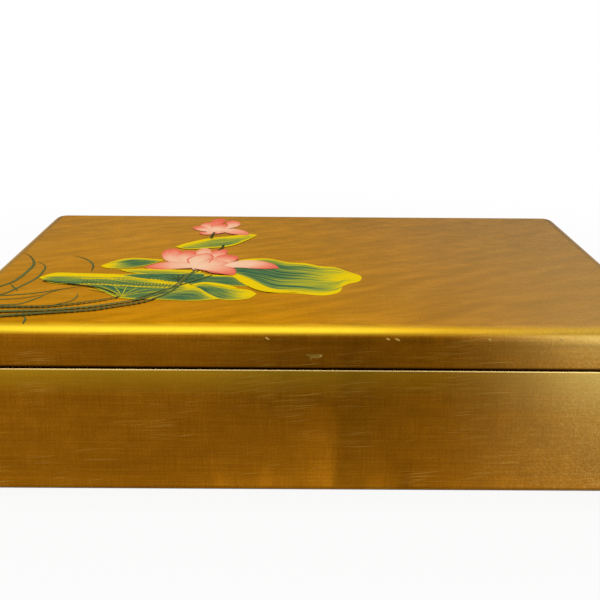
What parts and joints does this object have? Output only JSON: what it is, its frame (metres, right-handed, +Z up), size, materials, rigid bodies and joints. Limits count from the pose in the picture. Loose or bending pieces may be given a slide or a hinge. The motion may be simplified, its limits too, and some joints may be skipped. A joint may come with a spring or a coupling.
{
  "type": "lacquer box",
  "caption": "Low rectangular gilded lacquer box with rounded corners and a lift-off lid that sits over an inner lip; it holds small things in a lined tray.",
  "frame": {"origin": "centre of the underside, on the surface that the box stands on", "axes": "+X along the width, +Y from the front face to the rear face, +Z up, the way the lid lifts"},
  "size_m": [0.3, 0.2, 0.0715],
  "materials": {
    "gilded_lacquer": "gold leaf under clear lacquer, satin with fine horizontal polishing lines",
    "red_lacquer": "plain deep red lacquer, soft gloss",
    "black_lacquer": "plain black lacquer, satin",
    "core_wood": "planed softwood boards, hidden under the lacquer",
    "peg_bamboo": "split bamboo, hidden under the lacquer"
  },
  "bodies": {
    "base": {"front_wall": "core_wood", "rear_wall": "core_wood", "left_wall": "core_wood", "right_wall": "core_wood", "bottom_board": "core_wood", "bottom_board_pegs": "peg_bamboo", "front_liner": "core_wood", "rear_liner": "core_wood", "left_liner": "core_wood", "right_liner": "core_wood", "body_gilt_coat": "gilded_lacquer", "tray_lacquer_coat": "red_lacquer", "underside_lacquer_coat": "black_lacquer"},
    "lid": {"lid_front_rail": "core_wood", "lid_rear_rail": "core_wood", "lid_left_rail": "core_wood", "lid_right_rail": "core_wood", "lid_top_board": "core_wood", "lid_board_pegs": "peg_bamboo", "lid_gilt_coat": "gilded_lacquer", "lid_inner_lacquer_coat": "red_lacquer"}
  },
  "joints": [
    {"name": "lid_lift", "type": "slide", "parent": "base", "child": "lid", "axis": [0, 0, 1], "range_m": [0, 0.12]}
  ]
}
